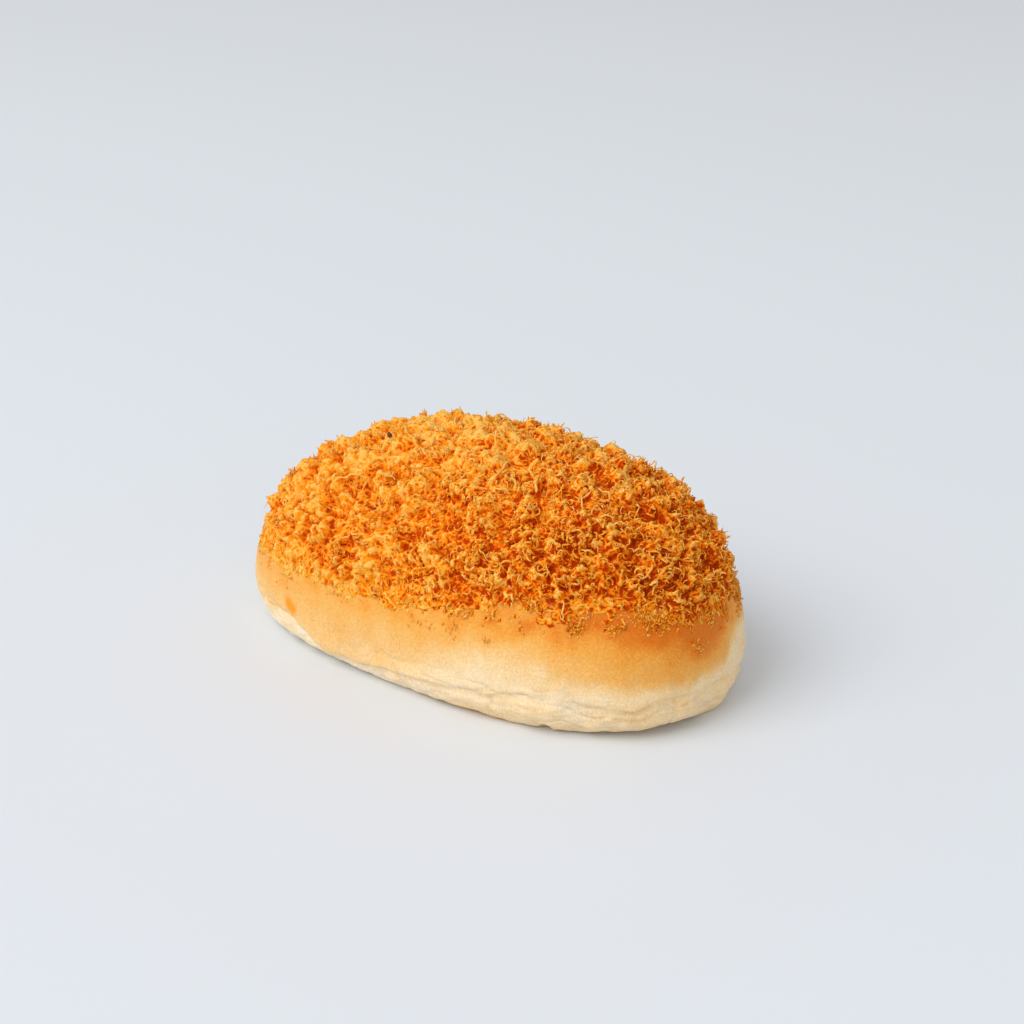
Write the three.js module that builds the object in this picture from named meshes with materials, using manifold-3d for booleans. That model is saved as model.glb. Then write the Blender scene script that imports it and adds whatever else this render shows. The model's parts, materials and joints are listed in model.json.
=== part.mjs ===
// A chicken floss bun: a soft oval milk bun with a flat pale base and a browned crust, and over
// its top a thick, uneven coat of crisp golden meat floss.
// Millimetres, +Z up. The origin is the middle of the base, and +X runs along the bun.
import * as THREE from "three";
import { mergeVertices } from "three/addons/utils/BufferGeometryUtils.js";
import Module from "manifold-3d";

// The bun's overall size, without the coat.
const BUN_LENGTH = 138.2;
const BUN_WIDTH = 82.2;
const BUN_HEIGHT = 53.2;

// The bun's shape. A squareness of 2 is a plain ellipse. The dome has one across the bun and one
// along it. The bun is widest at its waist, tapers to its +X end and is taller there.
const PLAN_SQUARENESS = 2.45;
const DOME_SQUARENESS = 1.95;
const END_SQUARENESS = 2.29;
const WAIST_HEIGHT = 12;
const BASE_TUCK = 5.6;
const TUCK_POWER = 3.7;
const TAPER = 0.036;
const END_LIFT = 0.1;
const END_SAG = 0.04;
const SWELL = 0.5;
const SWELL_SPAN = 38;
const NORMAL_STEP = 0.003;
const CROWN_CLIMB = 0.99;
const CROWN_LEAN = 0.07;

// The fold of pale dough that runs round just above the base.
const FOLD_HEIGHT = 6.6;
const FOLD_WANDER = 1.6;
const FOLD_WANDER_SPAN = 24;
const FOLD_DEPTH = 1.1;
const FOLD_HALF_WIDTH = 1.1;
const FOLD_UNEVEN = 0.5;
const FOLD_UNEVEN_SPAN = 14;
const PUCKER = 0.45;
const PUCKER_SPAN = 7;
const PUCKER_RISE = 8;
const FLAT_RISE = 3;

// The coat of floss. Its lower edge runs round the bun at its height plus these offsets, each with
// its turn in degrees: it dips at the -X end of the front and hangs in short tongues along it.
const EDGE_HEIGHT = 27;
const EDGE_OFFSETS = [
  [-180, -2],
  [-165, -4.5],
  [-150, -8],
  [-140, -9.4],
  [-130, -9.4],
  [-115, -8.2],
  [-102, -7],
  [-90, -5.4],
  [-83, -4.4],
  [-79.5, -3],
  [-76, -3.8],
  [-72.5, -1],
  [-69, -2.6],
  [-62.5, 1],
  [-57, 1],
  [-46.5, -0.4],
  [-41, 1.6],
  [-34, 1.4],
  [-24, 1],
  [-19, -0.6],
  [-14, -0.4],
  [-9, -3.7],
  [-3, -3.8],
  [4, -3.2],
  [15, -3.8],
  [40, -2.5],
  [70, -1],
  [110, 0],
  [150, -0.5],
  [180, -2],
];
const EDGE_RAGGED = 1.8;
const EDGE_SPAN = 6;
const EDGE_START = 3;
const EDGE_SLOPE = 5;

// The coat's thickness, and the heaps and clumps that it is made of.
const COAT_DEPTH = 3;
const COAT_LEAST = 0.8;
const COAT_EDGE_SHARE = 0.3;
const COAT_SUNK = 1.6;
const COAT_RAMP = 15;
const HEAP_HEIGHT = 0.7;
const HEAP_SPAN = 13;
const CLUMP_SPACING = 6;
const CLUMP_HEIGHT = 2.5;
const CLUMP_REACH = 4;
const CLUMP_DIP = -0.6;
const GAP = 0.3;

// The shreds that curl out of the coat.
const SHREDS = 72;
const SHRED_LENGTH = [5, 9];
const SHRED_RADIUS = [0.55, 0.8];
const SHRED_SIDES = 4;
const SHRED_RINGS = 4;
const SHRED_ARCH = [0.9, 2.1];
const SHRED_CURL = [-1.5, 1.5];
const SHRED_LIFT = [0, 1.6];
const SHRED_SUNK = 0.9;
const SHRED_SUNK_SHARE = 0.3;
const SHRED_BEND = 1.5;
const SHRED_END_SHARE = 0.75;
const SHRED_SPREAD = 0.8;
const SHRED_NUDGE = 0.15;
const SHRED_OVER_EDGE = 2;
const HEADING_LEAST = 0.1;
const TANGENT_STEP = 0.05;

// Mesh steps along, across and up the bun.
const BUN_STEPS = [22, 13, 18];
const COAT_STEPS = [45, 26, 24];
const SEED = 20260;

const wasm = await Module();
wasm.setup();

// A seeded random draw from 0 to 1, and one between two limits.
let state = SEED;
function draw() {
  state = (state + 0x6d2b79f5) | 0;
  let t = Math.imul(state ^ (state >>> 15), 1 | state);
  t = (t + Math.imul(t ^ (t >>> 7), 61 | t)) ^ t;
  return ((t ^ (t >>> 14)) >>> 0) / 4294967296;
}
const between = ([low, high]) => low + (high - low) * draw();

// A fixed value from 0 to 1 for each whole-number cell of space.
function cellValue(i, j, k, salt = 0) {
  let h = Math.imul(i, 374761393) ^ Math.imul(j, 668265263) ^ Math.imul(k, 2147483647) ^ Math.imul(salt + 1, 974711);
  h = Math.imul(h ^ (h >>> 13), 1274126177);
  h = Math.imul(h ^ (h >>> 16), 2246822519);
  return ((h ^ (h >>> 15)) >>> 0) / 4294967296;
}

// Smooth noise from -1 to 1 that changes over a distance of span.
function noise(point, span, salt = 0) {
  const p = point.clone().divideScalar(span);
  const [i, j, k] = [p.x, p.y, p.z].map(Math.floor);
  const [u, v, w] = [p.x - i, p.y - j, p.z - k].map((t) => t * t * (3 - 2 * t));
  let sum = 0;
  for (const a of [0, 1])
    for (const b of [0, 1])
      for (const c of [0, 1]) {
        const weight = (a ? u : 1 - u) * (b ? v : 1 - v) * (c ? w : 1 - w);
        sum += weight * cellValue(i + a, j + b, k + c, salt);
      }
  return 2 * sum - 1;
}

// Rounded clumps, one about each jittered cell centre: 1 at a clump's middle, falling below 0 between.
function clumps(point, spacing, reach) {
  const p = point.clone().divideScalar(spacing);
  const [i, j, k] = [p.x, p.y, p.z].map(Math.floor);
  let nearest = Infinity;
  for (let a = i - 1; a <= i + 1; a++)
    for (let b = j - 1; b <= j + 1; b++)
      for (let c = k - 1; c <= k + 1; c++) {
        const centre = new THREE.Vector3(
          a + cellValue(a, b, c, 1),
          b + cellValue(a, b, c, 2),
          c + cellValue(a, b, c, 3),
        );
        nearest = Math.min(nearest, centre.distanceTo(p));
      }
  return 1 - ((nearest * spacing) / reach) ** 2;
}

const smooth = (t) => THREE.MathUtils.smoothstep(t, 0, 1);
const bell = (t) => Math.exp(-t * t);
const degreesApart = (a, b) => THREE.MathUtils.euclideanModulo(a - b + 180, 360) - 180;
const squared = (v, squareness) => Math.sign(v) * Math.abs(v) ** (2 / squareness);

// A point on the plain loaf. turn goes round it, and climb goes from the base's edge, -1, past the
// waist, 0, to the top, 1. inward, from 0 to 1, moves a point of the base from its edge to its middle.
function loafPoint({ turn, climb, inward = 0 }) {
  const along = squared(Math.cos(turn), PLAN_SQUARENESS);
  const across = squared(Math.sin(turn), PLAN_SQUARENESS);
  let reachX = 1;
  let reachY = 1;
  let tuck = 0;
  let z = WAIST_HEIGHT * (1 + climb);
  if (climb < 0) {
    tuck = BASE_TUCK * (-climb) ** TUCK_POWER;
  } else {
    const a = (climb * Math.PI) / 2;
    reachX = squared(Math.cos(a), END_SQUARENESS);
    reachY = squared(Math.cos(a), DOME_SQUARENESS);
    z = WAIST_HEIGHT + (BUN_HEIGHT - WAIST_HEIGHT) * squared(Math.sin(a), DOME_SQUARENESS);
  }
  const x = ((BUN_LENGTH / 2) * reachX - tuck) * along * (1 - inward);
  const y = ((BUN_WIDTH / 2) * reachY - tuck) * across * (1 - TAPER * along) * (1 - inward);
  const s = x / (BUN_LENGTH / 2);
  return new THREE.Vector3(x, y, z * (1 + END_LIFT * s - END_SAG * s * s));
}

// The outward direction of the plain loaf at a point of its side or dome.
function loafNormal({ turn, climb, inward = 0 }) {
  if (inward > 0) return new THREE.Vector3(0, 0, -1);
  if (climb > CROWN_CLIMB) return new THREE.Vector3(-CROWN_LEAN, 0, 1).normalize();
  const before = loafPoint({ turn: turn - NORMAL_STEP, climb });
  const round = loafPoint({ turn: turn + NORMAL_STEP, climb }).sub(before);
  const lower = loafPoint({ turn, climb: Math.max(-1, climb - NORMAL_STEP) });
  const up = loafPoint({ turn, climb: climb + NORMAL_STEP }).sub(lower);
  return round.cross(up).normalize();
}

// How far the crust stands out from the plain loaf: broad swellings, the fold and its puckers.
function crustRelief(point) {
  const foldAt = FOLD_HEIGHT + FOLD_WANDER * noise(point.clone().setZ(0), FOLD_WANDER_SPAN, 5);
  const depth = FOLD_DEPTH * (1 + FOLD_UNEVEN * noise(point, FOLD_UNEVEN_SPAN, 6));
  const fold = depth * bell((point.z - foldAt) / FOLD_HALF_WIDTH);
  const low = 1 - smooth((point.z - FOLD_HEIGHT) / PUCKER_RISE);
  const puckers = PUCKER * low * noise(point, PUCKER_SPAN, 7);
  const swell = SWELL * noise(point, SWELL_SPAN, 8);
  return smooth(point.z / FLAT_RISE) * (swell - fold + puckers);
}

// A point on the finished crust, or grown out from it by extra.
function crustPoint(place, extra = 0) {
  const point = loafPoint(place);
  return point.clone().addScaledVector(loafNormal(place), crustRelief(point) + extra);
}

// The height of the coat's lower edge, round the bun.
function edgeHeight(turn) {
  const degrees = degreesApart(THREE.MathUtils.radToDeg(turn), 0);
  const next = EDGE_OFFSETS.findIndex(([at]) => at > degrees);
  const [low, from] = EDGE_OFFSETS[next - 1];
  const [high, to] = EDGE_OFFSETS[next];
  return EDGE_HEIGHT + THREE.MathUtils.mapLinear(degrees, low, high, from, to);
}

// The coat's thickness over the crust. It is below 0, inside the bun, under the coat's edge.
function coatDepth(place) {
  const point = loafPoint(place);
  const above = point.z - edgeHeight(place.turn) + EDGE_RAGGED * noise(point, EDGE_SPAN, 11);
  const cover = smooth((above + EDGE_START) / EDGE_SLOPE);
  const thick = COAT_EDGE_SHARE + (1 - COAT_EDGE_SHARE) * smooth(above / COAT_RAMP);
  const clump = CLUMP_HEIGHT * Math.max(CLUMP_DIP, clumps(point, CLUMP_SPACING, CLUMP_REACH));
  const heap = HEAP_HEIGHT * noise(point, HEAP_SPAN, 12);
  const body = Math.max(COAT_LEAST, thick * (COAT_DEPTH - CLUMP_HEIGHT / 2 + clump + heap));
  return -COAT_SUNK + cover * (COAT_SUNK + body);
}

// The place on the loaf for a point of a cube from -1 to 1: its floor is the base, and its walls
// and top are swollen to a dome.
function placeOf(cube) {
  const [x, y, z] = [cube.x, cube.y, cube.z].map((c) => Math.tan((c * Math.PI) / 4));
  const turn = Math.atan2(y, x);
  if (cube.z > 0) return { turn, climb: Math.atan2(z, Math.hypot(x, y)) / (Math.PI / 2) };
  const toEdge = Math.max(Math.abs(cube.x), Math.abs(cube.y));
  return { turn, climb: cube.z, inward: 1 - toEdge };
}

// A closed loaf whose surface stands out from the crust by depth(place). steps are along, across and up.
function loafGeometry(steps, depth) {
  const geometry = new THREE.BoxGeometry(2, 2, 2, ...steps);
  const positions = geometry.getAttribute("position");
  for (let i = 0; i < positions.count; i++) {
    const place = placeOf(new THREE.Vector3().fromBufferAttribute(positions, i));
    const point = crustPoint(place, place.inward > 0 ? 0 : depth(place));
    positions.setXYZ(i, point.x, point.y, point.z);
  }
  return geometry;
}

// A closed surface from rings of points, fanned to a point before the first and one after the last.
function ringsGeometry(rings, first, final) {
  const round = rings[0].length;
  const points = [first, ...rings.flat(), final];
  const at = (ring, i) => 1 + ring * round + (i % round);
  const triangles = [];
  const last = rings.length - 1;
  for (let i = 0; i < round; i++) {
    triangles.push(0, at(0, i + 1), at(0, i));
    triangles.push(points.length - 1, at(last, i), at(last, i + 1));
    for (let ring = 0; ring < last; ring++) {
      triangles.push(at(ring, i), at(ring, i + 1), at(ring + 1, i + 1));
      triangles.push(at(ring, i), at(ring + 1, i + 1), at(ring + 1, i));
    }
  }
  return new THREE.BufferGeometry().setFromPoints(points).setIndex(triangles);
}

// One shred of floss: a thin tapered strand that leaves the coat, arches and curls back towards it.
function shredGeometry(place) {
  const out = loafNormal(place);
  const start = crustPoint(place, coatDepth(place) - SHRED_SUNK);
  const heading = new THREE.Vector3().crossVectors(out, new THREE.Vector3(0, 0, 1));
  if (heading.length() < HEADING_LEAST) heading.set(1, 0, 0);
  heading.normalize().applyAxisAngle(out, between([0, 2 * Math.PI]));
  const sideways = new THREE.Vector3().crossVectors(out, heading);
  const length = between(SHRED_LENGTH);
  const radius = between(SHRED_RADIUS);
  const arch = between(SHRED_ARCH);
  const curl = between(SHRED_CURL);
  const lift = between(SHRED_LIFT);
  const centre = (t) =>
    start
      .clone()
      .addScaledVector(heading, length * (t - SHRED_SUNK_SHARE))
      .addScaledVector(sideways, curl * Math.sin(Math.PI * SHRED_BEND * t))
      .addScaledVector(out, arch * Math.sin(Math.PI * t) + lift * t);
  const rings = [];
  for (let r = 0; r < SHRED_RINGS; r++) {
    const t = (r + 1) / (SHRED_RINGS + 1);
    const thick = radius * (SHRED_END_SHARE + (1 - SHRED_END_SHARE) * Math.sin(Math.PI * t));
    const along = centre(t + TANGENT_STEP).sub(centre(t - TANGENT_STEP)).normalize();
    const right = new THREE.Vector3().crossVectors(along, out).normalize();
    const over = new THREE.Vector3().crossVectors(right, along);
    rings.push(
      Array.from({ length: SHRED_SIDES }, (_, i) => {
        const a = (2 * Math.PI * (i + 0.5)) / SHRED_SIDES;
        return centre(t)
          .addScaledVector(over, thick * Math.cos(a))
          .addScaledVector(right, thick * Math.sin(a));
      }),
    );
  }
  return ringsGeometry(rings, centre(0), centre(1));
}

// A closed geometry as a solid, turned right side out.
function solidOf(geometry) {
  geometry.deleteAttribute("normal");
  geometry.deleteAttribute("uv");
  const merged = mergeVertices(geometry, 1e-4);
  const build = (triVerts) =>
    new wasm.Manifold(new wasm.Mesh({ numProp: 3, vertProperties: merged.attributes.position.array, triVerts }));
  const solid = build(new Uint32Array(merged.index.array));
  return solid.volume() > 0 ? solid : build(new Uint32Array(merged.index.array).reverse());
}

// A solid's triangles as a three.js geometry.
function geometryOf(solid) {
  const mesh = solid.getMesh();
  const geometry = new THREE.BufferGeometry();
  geometry.setAttribute("position", new THREE.BufferAttribute(new Float32Array(mesh.vertProperties), 3));
  geometry.setIndex(new THREE.BufferAttribute(new Uint32Array(mesh.triVerts), 1));
  geometry.computeVertexNormals();
  return geometry;
}

const largest = (solids) => solids.reduce((best, s) => (s.volume() > best.volume() ? s : best));

// Places for the shreds: a spiral over the coat with even spacing, each nudged a little.
function shredPlaces() {
  const golden = Math.PI * (3 - Math.sqrt(5));
  const places = [];
  for (let i = 0; i < SHREDS; i++) {
    const share = (i + 0.5) / SHREDS;
    const turn = i * golden + between([-SHRED_NUDGE, SHRED_NUDGE]);
    places.push({ turn, climb: 1 - SHRED_SPREAD * Math.sqrt(share) });
  }
  return places.filter((place) => loafPoint(place).z > edgeHeight(place.turn) + SHRED_OVER_EDGE);
}

function makeBread() {
  return solidOf(loafGeometry(BUN_STEPS, () => 0));
}

function makeFloss() {
  const coat = solidOf(loafGeometry(COAT_STEPS, coatDepth));
  const shreds = shredPlaces().map((place) => solidOf(shredGeometry(place)));
  const room = solidOf(loafGeometry(BUN_STEPS, () => GAP));
  return largest(wasm.Manifold.union([coat, ...shreds]).subtract(room).decompose());
}

function part(name, solid, color, roughness) {
  const material = new THREE.MeshStandardMaterial({ color, roughness, metalness: 0 });
  const mesh = new THREE.Mesh(geometryOf(solid), material);
  mesh.name = name;
  return mesh;
}

const bun = new THREE.Group();
bun.add(part("bread", makeBread(), "#e3a856", 0.6));
bun.add(part("floss_coat", makeFloss(), "#e08a2a", 0.85));

export default bun;
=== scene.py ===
"""The looks of a chicken floss bun: a fine crust, and a coat of curled meat floss over it."""

import collections
import functools
import json
import math

import bmesh
import bpy
import numpy as np
from bpy.props import FloatProperty, FloatVectorProperty, PointerProperty
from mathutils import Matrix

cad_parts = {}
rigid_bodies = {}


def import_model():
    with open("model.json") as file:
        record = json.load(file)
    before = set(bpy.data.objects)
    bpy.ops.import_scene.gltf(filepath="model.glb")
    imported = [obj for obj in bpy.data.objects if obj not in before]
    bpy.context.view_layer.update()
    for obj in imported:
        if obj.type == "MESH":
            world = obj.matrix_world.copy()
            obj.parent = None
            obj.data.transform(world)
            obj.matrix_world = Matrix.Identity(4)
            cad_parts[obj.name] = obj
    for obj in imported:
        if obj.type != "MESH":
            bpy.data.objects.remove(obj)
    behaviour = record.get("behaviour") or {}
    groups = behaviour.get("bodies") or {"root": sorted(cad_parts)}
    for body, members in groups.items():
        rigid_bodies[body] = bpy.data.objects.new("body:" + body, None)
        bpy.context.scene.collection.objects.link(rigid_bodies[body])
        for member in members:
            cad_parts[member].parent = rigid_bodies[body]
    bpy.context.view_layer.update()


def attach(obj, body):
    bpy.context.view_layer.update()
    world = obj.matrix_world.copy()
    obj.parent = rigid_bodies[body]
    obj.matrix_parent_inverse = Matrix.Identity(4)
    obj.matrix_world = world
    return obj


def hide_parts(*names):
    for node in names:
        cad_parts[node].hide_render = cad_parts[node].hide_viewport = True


bl_info = {
    "name": "Chicken Floss Bun",
    "version": (1, 0, 0),
    "blender": (4, 5, 0),
    "location": "3D View > Sidebar > Bun",
    "description": "Makes the crust and the floss of a chicken floss bun, with its stage",
    "category": "Object",
}

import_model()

MM = 0.001
SEED = 20260

# The loaf's form. A squareness of 2 is a plain ellipse. The dome has one across the bun and one
# along it. The bun is widest at its waist, tapers to its +X end and is taller there.
PLAN_SQUARENESS = 2.45
DOME_SQUARENESS = 1.95
END_SQUARENESS = 2.29
BASE_TUCK = 5.6 * MM
TUCK_POWER = 3.7
TAPER = 0.036
END_LIFT = 0.1
END_SAG = 0.04
SWELL = 0.5 * MM
SWELL_SPAN = 38 * MM
NORMAL_STEP = 0.003
CROWN_CLIMB = 0.99
CROWN_LEAN = 0.07

# The fold of pale dough just above the base.
FOLD_HEIGHT = 6.6 * MM
FOLD_UNDER_LIP = 0.7 * MM
FOLD_DEPTH = 0.8 * MM
FOLD_HALF_WIDTH = 1.1 * MM
FOLD_UNEVEN = 0.5
FOLD_UNEVEN_SPAN = 14 * MM
PUCKER = 0.45 * MM
PUCKER_SPAN = 7 * MM
PUCKER_RISE = 8 * MM
FLAT_RISE = 3 * MM

# The coat's lower edge runs round the bun at its height plus these offsets in mm, each with its turn
# in degrees: it dips at the -X end of the front and hangs in short tongues along it.
EDGE_OFFSETS = (
    (-180, -2), (-165, -4.5), (-150, -8), (-140, -9.4), (-130, -9.4), (-115, -8.2), (-102, -7),
    (-90, -5.4), (-83, -4.4), (-79.5, -3), (-76, -3.8), (-72.5, -1), (-69, -2.6), (-62.5, 1), (-57, 1),
    (-46.5, -0.4), (-41, 1.6), (-34, 1.4), (-24, 1), (-19, -0.6), (-14, -0.4), (-9, -3.7), (-3, -3.8),
    (4, -3.2), (15, -3.8), (40, -2.5), (70, -1), (110, 0), (150, -0.5), (180, -2),
)
EDGE_RAGGED = 1.8 * MM
EDGE_SPAN = 6 * MM
EDGE_START = 3 * MM
EDGE_SLOPE = 5 * MM
# How far the edge frays, at the -X end and at the +X end.
EDGE_FRAY = (2.0 * MM, 3.4 * MM)
EDGE_FRAY_SPAN = 1.7 * MM
EDGE_FILM = 7 * MM

# The heaps and clumps that the coat is made of.
COAT_LEAST = 0.8 * MM
COAT_EDGE_SHARE = 0.3
COAT_SUNK = 1.6 * MM
COAT_RAMP = 15 * MM
HEAP_HEIGHT = 0.7 * MM
HEAP_SPAN = 13 * MM
CLUMP_SPACING = 6 * MM
CLUMP_REACH = 4 * MM
CLUMP_DIP = -0.6


def cell_value(i, j, k, salt=0):
    """A fixed value from 0 to 1 for each whole-number cell of space."""
    i, j, k = ((v.astype(np.int64) & 0xFFFFFFFF).astype(np.uint32) for v in (i, j, k))
    h = i * np.uint32(374761393) ^ j * np.uint32(668265263) ^ k * np.uint32(2147483647)
    h = h ^ np.uint32(((salt + 1) * 974711) & 0xFFFFFFFF)
    h = (h ^ (h >> np.uint32(13))) * np.uint32(1274126177)
    h = (h ^ (h >> np.uint32(16))) * np.uint32(2246822519)
    return (h ^ (h >> np.uint32(15))) / 4294967296


def noise(points, span, salt=0):
    """Smooth noise from -1 to 1 that changes over a distance of span."""
    p = points / span
    low = np.floor(p)
    t = p - low
    t = t * t * (3 - 2 * t)
    total = 0
    for corner in np.ndindex(2, 2, 2):
        weight = np.prod(np.where(np.array(corner) == 1, t, 1 - t), axis=-1)
        total = total + weight * cell_value(*np.moveaxis(low + corner, -1, 0), salt)
    return 2 * total - 1


def nearest_cells(points, spacing):
    """The distances from each point to the two nearest jittered cell centres, in metres."""
    p = points / spacing
    low = np.floor(p)
    first = np.full(p.shape[:-1], np.inf)
    second = first
    for corner in np.ndindex(3, 3, 3):
        cell = low + np.array(corner) - 1
        i, j, k = np.moveaxis(cell, -1, 0)
        jitter = np.stack([cell_value(i, j, k, salt) for salt in (1, 2, 3)], axis=-1)
        away = np.linalg.norm(cell + jitter - p, axis=-1)
        second = np.minimum(second, np.maximum(first, away))
        first = np.minimum(first, away)
    return first * spacing, second * spacing


def clumps(points, spacing, reach):
    """Rounded clumps: 1 at a clump's middle, falling below 0 between them."""
    return 1 - (nearest_cells(points, spacing)[0] / reach) ** 2


def smooth(t):
    t = np.clip(t, 0, 1)
    return t * t * (3 - 2 * t)


def bell(t):
    return np.exp(-t * t)


def degrees_apart(a, b):
    return (a - b + 180) % 360 - 180


def squared(v, squareness):
    return np.sign(v) * np.abs(v) ** (2 / squareness)


def mix(a, b, share):
    return a + (b - a) * share


def unit(v):
    return v / np.maximum(np.linalg.norm(v, axis=-1, keepdims=True), 1e-12)


def loaf_point(loaf, turn, climb):
    """Points of the plain loaf. climb goes from the base's edge, -1, past the waist, 0, to the top, 1."""
    turn, climb = np.broadcast_arrays(turn, climb)
    along = squared(np.cos(turn), PLAN_SQUARENESS)
    across = squared(np.sin(turn), PLAN_SQUARENESS)
    angle = np.clip(climb, 0, 1) * np.pi / 2
    reach_x = np.where(climb < 0, 1, squared(np.cos(angle), END_SQUARENESS))
    reach_y = np.where(climb < 0, 1, squared(np.cos(angle), DOME_SQUARENESS))
    tuck = BASE_TUCK * np.clip(-climb, 0, 1) ** TUCK_POWER
    dome = loaf.waist + (loaf.height - loaf.waist) * squared(np.sin(angle), DOME_SQUARENESS)
    z = np.where(climb < 0, loaf.waist * (1 + climb), dome)
    x = (loaf.length / 2 * reach_x - tuck) * along
    y = (loaf.width / 2 * reach_y - tuck) * across * (1 - TAPER * along)
    s = x / (loaf.length / 2)
    return np.stack([x, y, z * (1 + END_LIFT * s - END_SAG * s * s)], axis=-1)


def loaf_normal(loaf, turn, climb):
    """The outward direction of the plain loaf's side and dome."""
    before = loaf_point(loaf, turn - NORMAL_STEP, climb)
    around = loaf_point(loaf, turn + NORMAL_STEP, climb) - before
    lower = loaf_point(loaf, turn, np.maximum(-1, climb - NORMAL_STEP))
    up = loaf_point(loaf, turn, climb + NORMAL_STEP) - lower
    crown = unit(np.array([-CROWN_LEAN, 0, 1]))
    return np.where((climb > CROWN_CLIMB)[..., None], crown, unit(np.cross(around, up)))


# The fold's line round the bun: for each turn in degrees its height in mm, and its depth as a share
# of FOLD_DEPTH.
LIP_TURNS = (
    -160, -137, -127, -120, -114, -108.5, -106, -103, -99.5, -96, -91, -88.5, -82, -75, -70, -65, -60, -50,
    -42, -37, -30, -21, -12, -6, 0, 20, 60, 120,
)
LIP_HEIGHTS = (
    6, 7, 8, 9, 10, 8, 6, 3.6, 3.3, 4.1, 4.9, 6.3, 7.4, 8, 7.9, 9.2, 10.4, 10.7,
    10.3, 9.4, 8.4, 9.7, 10.3, 9.8, 9, 8, 7, 6,
)
LIP_SHARES = (
    0.4, 0.1, 0.1, 0.2, 0.3, 0.5, 0.8, 1, 1, 1, 1, 1, 0.8, 0.6, 0.6, 0.5, 0.4, 0.3,
    0.5, 0.9, 1, 0.6, 0.8, 0.6, 0.4, 0.6, 0.8, 0.8,
)
LIP_JOG = 0.6 * MM
LIP_JOG_SPAN = 5 * MM


def lip_line(turn, points):
    """The height of the crust's lower lip, over the fold."""
    flat = points * (1, 1, 0)
    height = MM * np.interp(np.degrees(turn), LIP_TURNS, LIP_HEIGHTS, period=360)
    return height + LIP_JOG * (noise(flat, LIP_JOG_SPAN, 21) + 0.5 * noise(flat, LIP_JOG_SPAN / 3, 27))


def lip_share(turn):
    """How deep the fold and how sharp the lip are, round the bun, up to 1."""
    return np.interp(np.degrees(turn), LIP_TURNS, LIP_SHARES, period=360)


def crust_relief(turn, points):
    """How far the crust stands out from the plain loaf: swellings, the fold and its puckers."""
    depth = FOLD_DEPTH * lip_share(turn) * (1 + FOLD_UNEVEN * noise(points, FOLD_UNEVEN_SPAN, 6))
    under = lip_line(turn, points) - FOLD_UNDER_LIP
    fold = depth * bell((points[..., 2] - under) / FOLD_HALF_WIDTH)
    low = 1 - smooth((points[..., 2] - FOLD_HEIGHT) / PUCKER_RISE)
    puckers = PUCKER * low * noise(points, PUCKER_SPAN, 7)
    swell = SWELL * noise(points, SWELL_SPAN, 8)
    return smooth(points[..., 2] / FLAT_RISE) * (swell - fold + puckers)


def edge_height(coat, turn):
    """The height of the coat's lower edge, round the bun."""
    return coat.edge_height + MM * np.interp(np.degrees(turn), *zip(*EDGE_OFFSETS))


def above_edge(coat, turn, points):
    """How far a point is above the coat's ragged lower edge."""
    return points[..., 2] - edge_height(coat, turn) + EDGE_RAGGED * noise(points, EDGE_SPAN, 11)


def coat_depth(coat, turn, points):
    """The coat's thickness over the crust. It is below 0, inside the bun, under the coat's edge."""
    above = above_edge(coat, turn, points)
    cover = smooth((above + EDGE_START) / EDGE_SLOPE)
    thick = COAT_EDGE_SHARE + (1 - COAT_EDGE_SHARE) * smooth(above / COAT_RAMP)
    clump = coat.clump_height * np.maximum(CLUMP_DIP, clumps(points, CLUMP_SPACING, CLUMP_REACH))
    heap = HEAP_HEIGHT * noise(points, HEAP_SPAN, 12)
    body = np.maximum(COAT_LEAST, thick * (coat.depth - coat.clump_height / 2 + clump + heap))
    return -COAT_SUNK + cover * (COAT_SUNK + body)


# Meshes from arrays.

def mesh_object(name, points, quads, triangles, material, **shades):
    """A smooth mesh object from arrays. shades are values for its points that the material reads."""
    mesh = bpy.data.meshes.new(name)
    corners = np.concatenate([np.ravel(quads), np.ravel(triangles)]).astype(np.int32)
    totals = np.repeat([4, 3], [len(quads), len(triangles)])
    mesh.vertices.add(len(points))
    mesh.vertices.foreach_set("co", points.astype(np.float32).ravel())
    mesh.loops.add(len(corners))
    mesh.loops.foreach_set("vertex_index", corners)
    mesh.polygons.add(len(totals))
    mesh.polygons.foreach_set("loop_start", (np.cumsum(totals) - totals).astype(np.int32))
    for shade, values in shades.items():
        data = mesh.attributes.new(shade, "FLOAT", "POINT").data
        data.foreach_set("value", np.broadcast_to(values, len(points)).astype(np.float32))
    mesh.update(calc_edges=True)
    mesh.shade_smooth()
    mesh.materials.append(material)
    obj = bpy.data.objects.new(name, mesh)
    bpy.context.scene.collection.objects.link(obj)
    return obj


def ring_quads(rings, round_count):
    """Quads between rings of points that are numbered ring by ring."""
    ring, side = np.meshgrid(np.arange(rings - 1), np.arange(round_count), indexing="ij")
    a = ring * round_count + side
    b = ring * round_count + (side + 1) % round_count
    return np.stack([a, b, b + round_count, a + round_count], axis=-1).reshape(-1, 4)


def fan(ring_start, round_count, tip, flip=False):
    """Triangles from one ring of points to a tip."""
    side = np.arange(round_count)
    a, b = ring_start + side, ring_start + (side + 1) % round_count
    tips = np.full(round_count, tip)
    return np.stack([b, a, tips] if flip else [a, b, tips], axis=-1)


# The bread.

BREAD_ROUND = 720
BREAD_LOW_STEPS = 38
BREAD_SIDE_STEPS = 32
BREAD_TOP_STEPS = 7
BREAD_SIDE_CLIMB = 0.36
BREAD_TOP_CLIMB = 0.985
BASE_INWARD = (0.5, 0.12, 0.03)


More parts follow.
